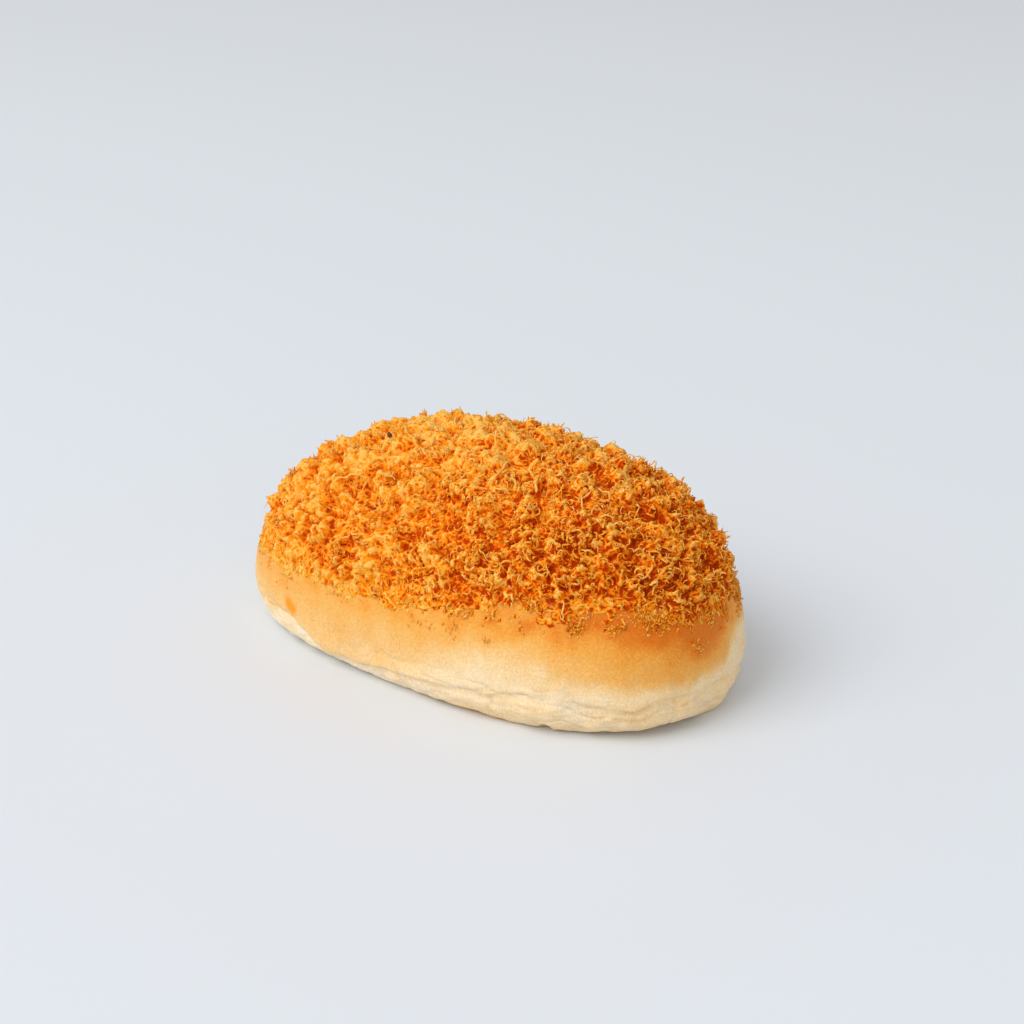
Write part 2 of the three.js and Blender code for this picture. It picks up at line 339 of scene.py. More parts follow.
def even_turns(loaf, count):
    """Turns round the bun that are evenly spaced along its outline."""
    dense = np.linspace(-np.pi, np.pi, 8 * count + 1)
    outline = loaf_point(loaf, dense, np.zeros_like(dense))
    steps = np.linalg.norm(np.diff(outline, axis=0), axis=-1)
    length = np.concatenate([[0], np.cumsum(steps)])
    return np.interp(np.arange(count) * length[-1] / count, length, dense)


# Fine forms of the crust: the dough over the fold overhangs the band under it, most of all at the
# -X end of the front. The band is rough, and short wrinkles run through the pale dough.
LIP_TURN = -104
LIP_SPREAD = 22
LIP_OUT = 0.35 * MM
LIP_SOFT = 0.4 * MM
LIP_REACH = 3.5 * MM
# The dough overhangs the floor at the foot: for each turn in degrees, how high its lower edge is in mm.
# Under that edge it is cut in by FOOT_SLOPE times the height. Past the +X end of the front a heel fills
# the foot out.
FOOT_EDGES = (
    (-104, 0), (-101.5, 1.6), (-98, 1.7), (-94, 0.6), (-91, 0), (-86, 0), (-84, 0.3), (-81, 1), (-77, 1.2),
    (-73, 1.1), (-70, 0.8), (-65, 0.3), (-61, 0), (-55, 0), (-45, 0.6), (-38, 1.1), (-31, 1.6), (-24, 2.1),
    (-19, 2.5), (-14, 2.7), (-10, 2.4), (-6, 1.6), (-4, 0.9), (-2, 0.3), (0, 0),
)
FOOT_SLOPE = 1.9
FOOT_LEAST = 0.1 * MM
HEEL_OUT = 1.6 * MM
HEEL_TURN = 4
HEEL_SPREAD = 7
HEEL_HEIGHT = 4.5 * MM
SLIT_DEPTH = 0.3 * MM
SLIT_HALF_WIDTH = 0.35 * MM
BAND_ROUGH = 0.32 * MM
BAND_STRETCH = (2.6 * MM, 2.6 * MM, 0.9 * MM)
SHRED_STRETCH = (1.2 * MM, 1.2 * MM, 0.8 * MM)
WRINKLE_WARP = 3 * MM
WRINKLE_WARP_SPAN = 8 * MM
WRINKLE_TOP = 6 * MM
WRINKLE_FADE = 14 * MM
CREASE_STRETCH = (9 * MM, 9 * MM, 2.6 * MM)
CREASE_DEPTH = 0.65 * MM
CREASE_SHARPNESS = 9
PLEAT_STRETCH = (3.2 * MM, 3.2 * MM, 7 * MM)
PLEAT_HEIGHT = 0.45 * MM
FOOT_SPAN = 5 * MM
FOOT_UNEVEN = 0.2 * MM
RELIEF_RISE = 3 * MM
FOOT_NOTCH = 1.5 * MM
FOOT_NOTCH_TURN = -54
FOOT_NOTCH_SPREAD = 1.3
FOOT_HEIGHT = 1.8 * MM
GRAIN = 0.08 * MM
GRAIN_SPAN = 1.3 * MM


def at_left_front(turn):
    """1 at the -X end of the front, where the crust overhangs most, falling to 0 away from it."""
    return bell(degrees_apart(np.degrees(turn), LIP_TURN) / LIP_SPREAD)


def foot_tuck(turn, z):
    """How far the foot is tucked under the dough's lower edge at a height."""
    edge = MM * np.interp(np.degrees(turn), *zip(*FOOT_EDGES))
    return FOOT_SLOPE * edge * (1 - smooth(z / np.maximum(edge, FOOT_LEAST)))


def fine_crust(turn, points):
    """The small relief of the crust, over the loaf's main forms."""
    z = points[..., 2]
    flat = points * (1, 1, 0)
    left = at_left_front(turn)
    over = z - lip_line(turn, points)
    strength = lip_share(turn) * (1 + 0.4 * noise(flat, LIP_JOG_SPAN * 1.5, 28))
    lip = strength * (LIP_OUT * np.tanh(over / LIP_SOFT) * bell(over / LIP_REACH))
    slit = strength * SLIT_DEPTH * bell(over / SLIT_HALF_WIDTH)
    torn = noise(points, np.array(BAND_STRETCH), 38) + 0.5 * noise(points, np.array(SHRED_STRETCH), 36)
    band = BAND_ROUGH * (0.4 + 0.6 * lip_share(turn)) * (1 - smooth(over / MM + 0.5)) * torn
    shift = np.stack([noise(points, WRINKLE_WARP_SPAN, salt) for salt in (33, 34, 35)], axis=-1)
    warped = points + WRINKLE_WARP * shift
    ridged = np.abs(noise(warped, np.array(CREASE_STRETCH), 22))
    crease = CREASE_DEPTH * np.exp(-CREASE_SHARPNESS * ridged)
    pleat = PLEAT_HEIGHT * noise(warped, np.array(PLEAT_STRETCH), 23)
    at_notch = bell(degrees_apart(np.degrees(turn), FOOT_NOTCH_TURN) / FOOT_NOTCH_SPREAD)
    jagged = noise(flat, FOOT_SPAN, 24) + noise(flat, FOOT_SPAN / 3, 25)
    notch = bell(z / FOOT_HEIGHT) * (FOOT_NOTCH * at_notch + FOOT_UNEVEN * jagged)
    heel = HEEL_OUT * bell(degrees_apart(np.degrees(turn), HEEL_TURN) / HEEL_SPREAD) * bell(z / HEEL_HEIGHT)
    grain = GRAIN * noise(points, GRAIN_SPAN, 26)
    wrinkles = mix(1, 0.35, left) * (1 - smooth((z - WRINKLE_TOP) / WRINKLE_FADE)) * (pleat - crease)
    return smooth(z / RELIEF_RISE) * (lip - slit + band + wrinkles) - notch + heel + grain


# How the crust browns: it is pale below a line that runs round the bun, browner at the +X end and
# stained along the coat's edge, with a toasted rim at the foot. For each turn in degrees: the line's
# height and its softness in mm, how baked the crust is above it, and how baked below.
FADES = (
    (-180, 11, 4, 0.55, 0.06), (-150, 8, 3, 0.5, 0.03), (-130, 6, 2, 0.52, 0), (-110, 5, 2, 0.52, 0),
    (-104, 3, 1.5, 0.48, 0), (-99, 2.5, 1.5, 0.48, 0), (-92, 5, 2.5, 0.48, 0.02),
    (-87, 6.5, 4, 0.49, 0.05), (-81, 10, 7, 0.48, 0.05), (-77, 13.5, 7.5, 0.53, 0.08),
    (-74, 16, 8, 0.57, 0.12), (-70, 18.3, 5.8, 0.61, 0.13), (-65, 17.6, 6.2, 0.62, 0.14),
    (-60, 18.2, 5.8, 0.62, 0.14), (-55, 17, 6.5, 0.65, 0.13), (-50, 14.7, 3.7, 0.63, 0.12),
    (-45, 14.5, 3.5, 0.68, 0.12), (-39, 14.8, 3.5, 0.74, 0.14), (-33, 14, 3, 0.81, 0.17),
    (-21, 14.6, 2.6, 0.86, 0.2), (-13, 13, 2.6, 0.9, 0.18), (-6, 14, 3, 0.9, 0.15),
    (3, 13.5, 3, 0.9, 0.16), (6, 18.5, 2.5, 0.85, 0.16), (16, 21, 3, 0.75, 0.16),
    (40, 18, 4, 0.7, 0.15), (90, 14, 5, 0.62, 0.12), (150, 12, 5, 0.58, 0.08), (180, 11, 4, 0.55, 0.06),
)
FADE_WANDER = 0.6 * MM
FADE_SPAN = 7 * MM
FADE_FIRST = 0.62
FADE_CLIMB = 12 * MM
STREAK_STRETCH = (1.8 * MM, 1.8 * MM, 9 * MM)
STREAK_RISE = 1.3 * MM
STAIN = 0.16
STAIN_RIGHT = 0.08
STAIN_REACH = 6 * MM
STAIN_SPAN = 3 * MM
STRING_STRETCH = (4 * MM, 4 * MM, 0.7 * MM)
STRING_TONE = 0.08
# Below the lip, at the -X end of the front, the band is made a little browner.
UNDER_LIP_BROWNING = 0.03
RIM_TOAST = 0.4
RIM_HEIGHT = 1.8 * MM
RIM_TURN = -73
RIM_SPREAD = 11


def browning(coat, turn, points):
    """How baked the crust is, from 0 for pale dough to 1 for golden brown."""
    degrees = np.degrees(turn)
    z = points[..., 2]
    left = at_left_front(turn)
    table = np.array(FADES)
    line, soft, most, least = (np.interp(degrees, table[:, 0], table[:, column]) for column in (1, 2, 3, 4))
    line = MM * line + FADE_WANDER * noise(points, FADE_SPAN, 31)
    shift = np.stack([noise(points, WRINKLE_WARP_SPAN, salt) for salt in (33, 34, 35)], axis=-1)
    streaks = STREAK_RISE * noise(points + WRINKLE_WARP * shift, np.array(STREAK_STRETCH), 32)
    baked = smooth(0.5 + (z - line + streaks * (1 - left)) / (2 * MM * soft))
    baked = baked * mix(1, smooth((z - lip_line(turn, points)) / (0.6 * MM) + 0.5), left)
    baked = baked * mix(FADE_FIRST, 1, smooth((z - line) / FADE_CLIMB))
    patches = 1 + 0.6 * noise(points, STAIN_SPAN, 39)
    stain = (STAIN + STAIN_RIGHT * rightwards(points)) * patches
    stain = stain * smooth(1 + above_edge(coat, turn, points) / STAIN_REACH)
    rim = RIM_TOAST * (1 - smooth(z / RIM_HEIGHT)) * bell(degrees_apart(degrees, RIM_TURN) / RIM_SPREAD)
    under = 1 - smooth((z - lip_line(turn, points)) / (1.5 * MM))
    strings = STRING_TONE * under * noise(points, np.array(STRING_STRETCH), 37)
    return mix(least, most, baked) + stain + rim + strings + UNDER_LIP_BROWNING * under * left


SPOT_AT = (-33.4 * MM, -38.7 * MM, 12.2 * MM)
SPOT_ALONG = (0.98, -0.2, 0)
SPOT_SLOPE = 0.34
SPOT_LENGTH = 3 * MM
SPOT_HEIGHT = 2.1 * MM
SPOT_DEPTH = 6 * MM


def browned_spot(points):
    """The share of the spot's colour at each point."""
    apart = points - SPOT_AT
    along = (apart * SPOT_ALONG).sum(axis=-1)
    up = apart[..., 2] + SPOT_SLOPE * along
    near = bell(along / SPOT_LENGTH) * bell(up / SPOT_HEIGHT)
    return smooth(1.5 * near * bell(np.linalg.norm(apart, axis=-1) / SPOT_DEPTH) - 0.1)


def make_bread(scene):
    loaf = scene.bun_loaf
    turns = even_turns(loaf, BREAD_ROUND)
    low = np.linspace(-1, 0, BREAD_LOW_STEPS, endpoint=False)
    side = np.linspace(0, BREAD_SIDE_CLIMB, BREAD_SIDE_STEPS, endpoint=False)
    top = np.linspace(BREAD_SIDE_CLIMB, BREAD_TOP_CLIMB, BREAD_TOP_STEPS)
    climb, turn = np.meshgrid(np.concatenate([low, side, top]), turns, indexing="ij")
    plain = loaf_point(loaf, turn, climb)
    relief = crust_relief(turn, plain) + fine_crust(turn, plain)
    wall = plain + loaf_normal(loaf, turn, climb) * relief[..., None]
    wall[0, :, 2] = 0
    outward = loaf_normal(loaf, turn, np.zeros_like(climb))
    wall -= outward * foot_tuck(turn, wall[..., 2])[..., None]
    wall[..., 2] = np.maximum(0, wall[..., 2])
    base = wall[:1] * (1 - np.reshape(BASE_INWARD, (-1, 1, 1)))
    rings = np.concatenate([base, wall])
    tips = np.array([[0, 0, 0], [0, 0, wall[-1, :, 2].mean()]])
    points = np.concatenate([rings.reshape(-1, 3), tips])
    quads = ring_quads(len(rings), BREAD_ROUND)
    last = (len(rings) - 1) * BREAD_ROUND
    caps = np.concatenate([
        fan(0, BREAD_ROUND, len(points) - 2, flip=True),
        fan(last, BREAD_ROUND, len(points) - 1),
    ])
    baked = np.concatenate([np.zeros(base.shape[:2]), browning(scene.bun_coat, turn, plain)]).ravel()
    bread = mesh_object(
        "crust", points, quads, caps, crust_material(scene.bun_colours),
        browning=np.append(baked, [0, 1]), spot=browned_spot(points),
    )
    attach(bread, "root")
    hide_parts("bread")


# The coat.

COAT_STEPS = (208, 124)
COAT_SIDE_STEPS = 94
COAT_UNDER_EDGE = 2.6 * MM
COAT_SHRINK = 1.2 * MM
# How far above the coat's edge the bed of floss ends, at the -X end and at the +X end.
BED_ABOVE_EDGE = (0.3 * MM, 1.3 * MM)
SKIN_LIFT = 0.12 * MM
CRUMB_SPACING = 3.3 * MM
CRUMB_REACH = 2.1 * MM
CRUMB_HEIGHT = 0.6 * MM
FRILL_SPAN = 2.0 * MM
FRILL_HEIGHT = 0.6 * MM
FINE_SPAN = 1.0 * MM
FINE_HEIGHT = 0.3 * MM
WARP = 1.2 * MM
WARP_SPAN = 2.8 * MM
TUFT_SPACING = 5 * MM
TUFT_REACH = 3.4 * MM
TUFT_HEIGHT = 0.7 * MM
TUFT_WARP = 2.2 * MM
CREVICE_WIDTH = 0.55 * MM
CREVICE_DEPTH = 1.6 * MM
PEAK_SPAN = 2.8 * MM
PEAK_HEIGHT = 0.8 * MM
PIT_SPAN = 4.5 * MM
PIT_DEPTH = 1.4 * MM
LEAN = 0.7 * MM
PORE_SPACING = 1.9 * MM
PORE_REACH = 0.75 * MM
PORE_DEPTH = 1.2 * MM
PORE_SPAN = 8 * MM
BED_LEAST = 0.15 * MM
# Painted light on the clumps and painted shade in the hollows, as tone of the bed and of what sits on it.
CLUMP_PAINTED_LIGHT = 0.15
STANDING_RANGE = (-1.1, 1)
BED_GLOW = 0.4
BED_TONE = 0.4
BED_STANDING_PAINTED_LIGHT = 0.4
# How strongly fine lines show on the bed, at the -X end and at the +X end.
BED_WEBBED = (0.36, 0.6)
INNER_STEPS = 9
INNER_SUNK = 1.2 * MM


def lattice(steps, side_steps):
    """The top and the four walls of a box as whole-number corners and quads, each corner once."""
    nx, ny = steps
    faces = []
    i, j = np.meshgrid(np.arange(nx + 1), np.arange(ny + 1), indexing="ij")
    faces.append(np.stack([i, j, np.full_like(i, side_steps)], axis=-1))
    for across in (0, ny):
        i, k = np.meshgrid(np.arange(nx + 1), np.arange(side_steps + 1), indexing="ij")
        wall = np.stack([i, np.full_like(i, across), k], axis=-1)
        faces.append(wall if across == 0 else wall[::-1])
    for along in (0, nx):
        j, k = np.meshgrid(np.arange(ny + 1), np.arange(side_steps + 1), indexing="ij")
        wall = np.stack([np.full_like(j, along), j, k], axis=-1)
        faces.append(wall if along == nx else wall[::-1])
    corners = np.concatenate([f.reshape(-1, 3) for f in faces])
    quads = []
    start = 0
    for f in faces:
        number = start + np.arange(f.shape[0] * f.shape[1]).reshape(f.shape[:2])
        quad = [number[:-1, :-1], number[1:, :-1], number[1:, 1:], number[:-1, 1:]]
        quads.append(np.stack(quad, axis=-1).reshape(-1, 4))
        start += number.size
    unique, inverse = np.unique(corners, axis=0, return_inverse=True)
    return unique, inverse.ravel()[np.concatenate(quads)]


def lowest_row(loaf, coat, cube):
    """The height, on the cube's walls, that keeps the coat's first row just under its edge."""
    x, y = np.moveaxis(np.tan(cube[:, :2] * np.pi / 4), -1, 0)
    turn = np.arctan2(y, x)
    along = squared(np.cos(turn), PLAN_SQUARENESS)
    bottom = edge_height(coat, turn) + BED_ABOVE_EDGE[0] - EDGE_RAGGED - COAT_UNDER_EDGE
    bottom = bottom / (1 + END_LIFT * along - END_SAG * along ** 2)
    rise = np.clip((bottom - loaf.waist) / (loaf.height - loaf.waist), 0.02, 1)
    angle = np.arcsin(rise ** (DOME_SQUARENESS / 2))
    return np.arctan(np.tan(angle) * np.hypot(x, y)) / (np.pi / 4)


def cube_place(cube):
    """The turn and the climb on the loaf for points of a cube from -1 to 1, above its middle."""
    x, y, z = np.moveaxis(np.tan(cube * np.pi / 4), -1, 0)
    return np.arctan2(y, x), np.arctan2(z, np.hypot(x, y)) / (np.pi / 2)


def peaks(points):
    """1 at scattered spots where the floss stands up in a small tuft, 0 between them."""
    return smooth(2.5 * noise(points, PEAK_SPAN, 50) - 1)


def crumbly(points):
    """The tufts, frills and pores of the floss: height, how light and how hollow, and a shift sideways. How
    light is painted light on the crumbs and tufts together with the frills' lines, and how hollow is
    painted shade in the crevices, pores and pits.
    """
    shift = np.stack([noise(points, WARP_SPAN, salt) for salt in (41, 42, 43)], axis=-1)
    warped = points + WARP * shift
    crumbs = np.maximum(-1, clumps(warped, CRUMB_SPACING, CRUMB_REACH))
    frills = 1 - 3 * np.abs(noise(warped, FRILL_SPAN, 44))
    fine = 1 - 3 * np.abs(noise(warped, FINE_SPAN, 45))
    near, next_near = nearest_cells(points + TUFT_WARP * shift, TUFT_SPACING)
    tuft = 1 - (near / TUFT_REACH) ** 2
    open_here = smooth(0.55 + noise(points, TUFT_SPACING, 48))
    crevice = open_here * bell((next_near - near) / CREVICE_WIDTH)
    porous = smooth(0.1 + 0.75 * rightwards(points) + 0.9 * noise(points, PORE_SPAN, 46))
    pitted = smooth(0.15 + rightwards(points))
    pit = pitted * smooth(2 * noise(points + TUFT_WARP * shift, PIT_SPAN, 49) - 0.6)
    away = nearest_cells(points + 0.5 * WARP * shift, PORE_SPACING)[0]
    pores = porous * smooth(1.6 - 1.6 * away / PORE_REACH)
    netted = mix(0.6, 1.3, rightwards(points))
    tall = mix(1.3, 0.9, rightwards(points))
    height = CRUMB_HEIGHT * crumbs + TUFT_HEIGHT * tall * tuft
    height = height + netted * (FRILL_HEIGHT * frills + FINE_HEIGHT * fine)
    height = height + PEAK_HEIGHT * peaks(points)
    height = height - CREVICE_DEPTH * crevice - PORE_DEPTH * pores - PIT_DEPTH * pit
    light = 0.14 * crumbs + 0.08 * tuft + netted * (0.38 * frills + 0.32 * fine)
    return height, light, 0.9 * crevice + 1.5 * pores + 0.9 * pit, shift


@functools.lru_cache(maxsize=1)
def coat_surface():
    """The coat's outer surface: its points, quads, out directions, turns and cover."""
    scene = bpy.context.scene
    loaf, coat = scene.bun_loaf, scene.bun_coat
    corners, quads = lattice(COAT_STEPS, COAT_SIDE_STEPS)
    cube = corners / (COAT_STEPS[0] / 2, COAT_STEPS[1] / 2, 1) - (1, 1, 0)
    low = lowest_row(loaf, coat, cube)
    cube[:, 2] = low + (1 - low) * corners[:, 2] / COAT_SIDE_STEPS
    turn, climb = cube_place(cube)
    plain = loaf_point(loaf, turn, climb)
    out = loaf_normal(loaf, turn, climb)
    above = above_edge(coat, turn, plain)
    right = rightwards(plain)
    over_edge = above - mix(*BED_ABOVE_EDGE, right)
    cover = smooth(over_edge / (4 * MM))
    height, light, hollow, shift = crumbly(plain)
    relief = crust_relief(turn, plain)
    depth = coat_depth(coat, turn, plain) - COAT_SHRINK
    film = smooth(over_edge / EDGE_FILM)
    body = np.maximum(BED_LEAST, mix(0.25, 1, film) * (depth + mix(0.5, 1, cover) * height))
    fray = noise(plain, EDGE_FRAY_SPAN, 47) + 0.6 * noise(plain, EDGE_FRAY_SPAN / 2, 40)
    frayed = over_edge + mix(*EDGE_FRAY, right) * fray
    bed = mix(-COAT_SUNK, body, smooth(frayed / (1.2 * MM)))
    lean = LEAN * cover[:, None] * (shift - out * (shift * out).sum(axis=-1, keepdims=True))
    # Painted light and shade: the tone is lighter on the clumps, tufts and frills and darker in the
    # crevices, pores and pits, where shade falls.
    standing = CLUMP_PAINTED_LIGHT * clumps(plain, CLUMP_SPACING, CLUMP_REACH) + light - film * hollow
    return {
        "points": plain + out * (relief + bed)[:, None] + lean,
        "skin": plain + out * (relief + np.maximum(bed, SKIN_LIFT))[:, None] + lean,
        "standing": np.clip(standing, *STANDING_RANGE),
        "plain": plain,
        "quads": quads,
        "out": out,
        "turn": turn,
        "climb": climb,
        "above": above,
        "rim": corners[:, 2] == 0,
    }


def make_coat(scene):
    coat_surface.cache_clear()
    surface = coat_surface()
    loaf = scene.bun_loaf
    rim = np.flatnonzero(surface["rim"])
    rim = rim[np.argsort(surface["turn"][rim])]
    start = float(surface["climb"][rim].min())
    climb, turn = np.meshgrid(
        np.linspace(start, BREAD_TOP_CLIMB, INNER_STEPS), surface["turn"][rim], indexing="ij"
    )
    plain = loaf_point(loaf, turn, climb)
    relief = crust_relief(turn, plain) - INNER_SUNK
    inner = (plain + loaf_normal(loaf, turn, climb) * relief[..., None])[1:]
    count = len(surface["points"])
    tip = inner[-1].mean(axis=0)
    points = np.concatenate([surface["points"], inner.reshape(-1, 3), [tip]])
    numbers = np.concatenate([rim[None], count + np.arange(inner[..., 0].size).reshape(inner.shape[:2])])
    a, b = numbers[:-1], numbers[1:]
    inner_quads = np.stack([a, b, np.roll(b, -1, axis=1), np.roll(a, -1, axis=1)], axis=-1)
    quads = np.concatenate([surface["quads"], inner_quads.reshape(-1, 4)])
    caps = numbers[-1][fan(0, len(rim), 0, flip=True)[:, :2]]
    caps = np.column_stack([caps, np.full(len(caps), len(points) - 1)])
    hidden = np.zeros(len(points) - count)
    # The bed's tone: painted light on its clumps and near the top, painted shade in its hollows and towards
    # the +X end.
    lift = BED_TONE + BED_STANDING_PAINTED_LIGHT * surface["standing"] + paint_light_by_place(surface["points"], BED_PAINTED_SHADE)
    obj = mesh_object(
        "floss_bed", points, quads, caps, floss_material(scene.bun_colours, "floss bed", BED_GLOW),
        webbed=np.append(mix(*BED_WEBBED, rightwards(surface["points"])), hidden),
        lift=np.append(lift, hidden),
    )
    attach(obj, "root")
    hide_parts("floss_coat")


# Curled shreds.

def scatter(rng, count, weigh):
    """Random places on the coat's surface. weigh gives the share of each quad's area that counts."""
    surface = coat_surface()
    quads = surface["quads"]
    corners = surface["skin"][quads]
    area = np.linalg.norm(np.cross(corners[:, 2] - corners[:, 0], corners[:, 3] - corners[:, 1]), axis=-1)
    weight = area * weigh({k: v[quads].mean(axis=1) for k, v in surface.items() if k != "quads"})
    chosen = rng.choice(len(quads), count, p=weight / weight.sum())
    u, v = rng.random((2, count, 1))
    share = np.stack([(1 - u) * (1 - v), u * (1 - v), u * v, (1 - u) * v], axis=1)
    blend = lambda values: (values[quads[chosen]].reshape(count, 4, -1) * share).sum(axis=1)
    return {
        "at": blend(surface["skin"]),
        "out": unit(blend(surface["out"])),
        "above": blend(surface["above"])[:, 0],
        "standing": blend(surface["standing"])[:, 0],
    }


def turned(v, axis, angle):
    """v turned about axis by angle."""
    c, s = np.cos(angle)[:, None], np.sin(angle)[:, None]
    along = (v * axis).sum(axis=-1, keepdims=True)
    return v * c + np.cross(axis, v) * s + axis * along * (1 - c)


def curl_paths(rng, places, kind, length, rise):
    """Centre lines of shreds: each rises from its root, then wanders and swirls near the coat."""
    count = len(places["at"])
    out, root = places["out"], places["at"]
    heading = unit(np.cross(out, rng.normal(size=(count, 3))))
    direction = turned(heading, np.cross(heading, out), rise)
    swirl = np.radians(rng.normal(0, kind.swirl, count))
    stand = rng.uniform(*kind.stand, count) * MM
    point = root - out * kind.sunk * MM
    path = [point]
    for _ in range(kind.steps):
        point = point + direction * (length / kind.steps)[:, None]
        path.append(point)
        height = ((point - root) * out).sum(axis=-1)
        pull = kind.hold * (stand - height) / MM
        wander = kind.wobble * rng.normal(size=(count, 3))
        direction = unit(turned(direction, out, swirl / kind.steps) + wander + out * pull[:, None])
    return np.stack(path, axis=1)


def tubes(paths, radius, out, sides, flatness, lumps):
    """Closed tapered tubes along paths, all alike in their numbers of points, as one set of arrays."""
    count, knots, _ = paths.shape
    along = unit(np.gradient(paths, axis=1))
    right = unit(np.cross(along, out[:, None] + 1e-3))
    over = np.cross(right, along)
    t = np.linspace(0, 1, knots)[1:-1]
    taper = np.sin(np.pi * (0.14 + 0.76 * t)) ** 0.5
    thick = radius[:, None] * taper * lumps
    angle = 2 * np.pi * np.arange(sides) / sides
    inner = slice(1, -1)
    rings = (
        paths[:, inner, None]
        + right[:, inner, None] * (thick[..., None] * np.cos(angle))[..., None]
        + over[:, inner, None] * (thick[..., None] * np.sin(angle) * flatness[:, None, None])[..., None]
    )
    rings = rings.reshape(count, -1, 3)
    points = np.concatenate([rings, paths[:, [0]], paths[:, [-1]]], axis=1)
    per = points.shape[1]
    quads = ring_quads(knots - 2, sides)[:, ::-1]
    last = (knots - 3) * sides
    caps = np.concatenate([fan(0, sides, per - 2), fan(last, sides, per - 1, flip=True)])
    offset = (np.arange(count) * per)[:, None, None]
    position = np.concatenate([np.repeat(t, sides), [0, 1]])
    return (
        points.reshape(-1, 3),
        (quads[None] + offset).reshape(-1, 4),
        (caps[None] + offset).reshape(-1, 3),
        np.tile(position, count),
    )


SHRED_GLOW = 0.08
SHRED_WEBBED = 0.14
# Painted light on shreds that are rooted on the clumps.
STANDING_PAINTED_LIGHT = 0.22
# Painted light and shade by place: lighter near the top and at the -X end, darker towards the +X end, more
# so on the bed.
RIGHT_PAINTED_SHADE = 0.1
BED_PAINTED_SHADE = 0.26
TOP_PAINTED_LIGHT = 0.16
LEFT_PAINTED_LIGHT = 0.06
RIGHT_START = -35 * MM
RIGHT_SPAN = 85 * MM
TOP_START = 42 * MM
TOP_SPAN = 15 * MM
STRAY_SPAN = 3.5 * MM
STRAY_FULL_X = 45 * MM

Shred = collections.namedtuple(
    "Shred", "name count sides steps length radius rise stand hold swirl wobble sunk flatness lift spread"
)


def floss_piece(scene, kind, places, rng):
    """One kind of shred, all of its tubes joined in one mesh."""
    count = len(places["at"])
    near = smooth((places["above"] + 1 * MM) / (7 * MM))
    length = rng.uniform(*kind.length, count) * MM * mix(0.7, 1, near)
    rise = np.radians(rng.uniform(*kind.rise, count)) * mix(0.3, 1, near)
    paths = curl_paths(rng, places, kind, length, rise)
    lumps = 1 + 0.28 * rng.uniform(-1, 1, (count, kind.steps - 1))
    radius = rng.uniform(*kind.radius, count) * MM
    flatness = rng.uniform(*kind.flatness, count)
    points, quads, caps, position = tubes(paths, radius, places["out"], kind.sides, flatness, lumps)
    per = len(points) // count
    # A shred's tone: random, with painted light on the clumps and near the top, and painted shade towards
    # the +X end.
    own = kind.spread * rng.uniform(-1, 1, count) + STANDING_PAINTED_LIGHT * places["standing"]
    own = own + paint_light_by_place(places["at"], RIGHT_PAINTED_SHADE)
    obj = mesh_object(
        kind.name, points, quads, caps,
        floss_material(scene.bun_colours, kind.name.replace("_", " "), SHRED_GLOW),
        webbed=SHRED_WEBBED, lift=mix(*kind.lift, position) + np.repeat(own, per),
    )
    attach(obj, "root")


def covered(surface):
    """Full cover over the coat, thinning out round its lower edge."""
    return smooth((surface["above"] + 1.0 * MM) / (4 * MM))


def rightwards(points):
    """From 0 at the -X end to 1 at the +X end."""
    return smooth((points[..., 0] - RIGHT_START) / RIGHT_SPAN)


def paint_light_by_place(points, right_painted_shade):
    """How much lighter the floss is at a place, as painted light and shade: lighter near the top and at the
    -X end, where the light falls, darker towards the +X end, which lies in shade.
    """
    top = TOP_PAINTED_LIGHT * smooth((points[..., 2] - TOP_START) / TOP_SPAN)
    return LEFT_PAINTED_LIGHT + top - (LEFT_PAINTED_LIGHT + right_painted_shade) * rightwards(points)


def standing_out(surface):
    """More on the clumps than between them."""
    return covered(surface) * (0.15 + smooth(0.6 + 0.5 * surface["standing"]))


def more_right(surface):
    return covered(surface) * (0.35 + rightwards(surface["plain"]))


def curly_right(surface):
    return standing_out(surface) * (0.1 + rightwards(surface["plain"]))


def on_peaks(surface):
    return covered(surface) * peaks(surface["plain"])


def over_right(surface):
    return smooth((surface["above"] - 5 * MM) / (4 * MM)) * (0.2 + rightwards(surface["plain"]))


def strayed(surface):
    """Round the edge, thinning out below it and towards the -X end."""
    above = surface["above"]
    clusters = smooth(0.1 + 1.8 * noise(surface["plain"], STRAY_SPAN, 51))
    clusters = clusters * mix(0.1, 1, smooth(surface["plain"][..., 0] / STRAY_FULL_X))
    return clusters * smooth((above + 3.5 * MM) / (4 * MM)) * (1 - smooth((above - 1.5 * MM) / (3 * MM)))


# The kinds of shreds. Pairs are ranges to draw from. Lengths are in mm and angles in degrees: rise is how
# steeply a shred leaves the coat, stand how far off it then keeps, and sunk how deep its root is.
# A shred's tone runs from root to tip: the root, deep in the coat, is painted darker as shade, and the tip
# lighter.
CURLS = Shred(
    name="floss_curls", count=800, sides=4, steps=10, length=(2.2, 5.0), radius=(0.16, 0.34),
    rise=(0, 30), stand=(0.0, 0.25), hold=0.6, swirl=170, wobble=0.4, sunk=0.3,
    flatness=(0.4, 0.9), lift=(0.45, 0.8), spread=0.1,
)
FIBRES = Shred(
    name="floss_fibres", count=900, sides=4, steps=9, length=(1.8, 4.0), radius=(0.12, 0.2),
    rise=(0, 30), stand=(0.0, 0.25), hold=0.6, swirl=170, wobble=0.38, sunk=0.2,
    flatness=(0.7, 1), lift=(0.55, 0.9), spread=0.1,
)
WISPS = Shred(
    name="floss_wisps", count=1800, sides=3, steps=5, length=(0.9, 2.0), radius=(0.14, 0.28),
    rise=(0, 30), stand=(0.0, 0.25), hold=0.6, swirl=150, wobble=0.4, sunk=0.1,
    flatness=(0.4, 0.8), lift=(0.45, 0.8), spread=0.12,
)
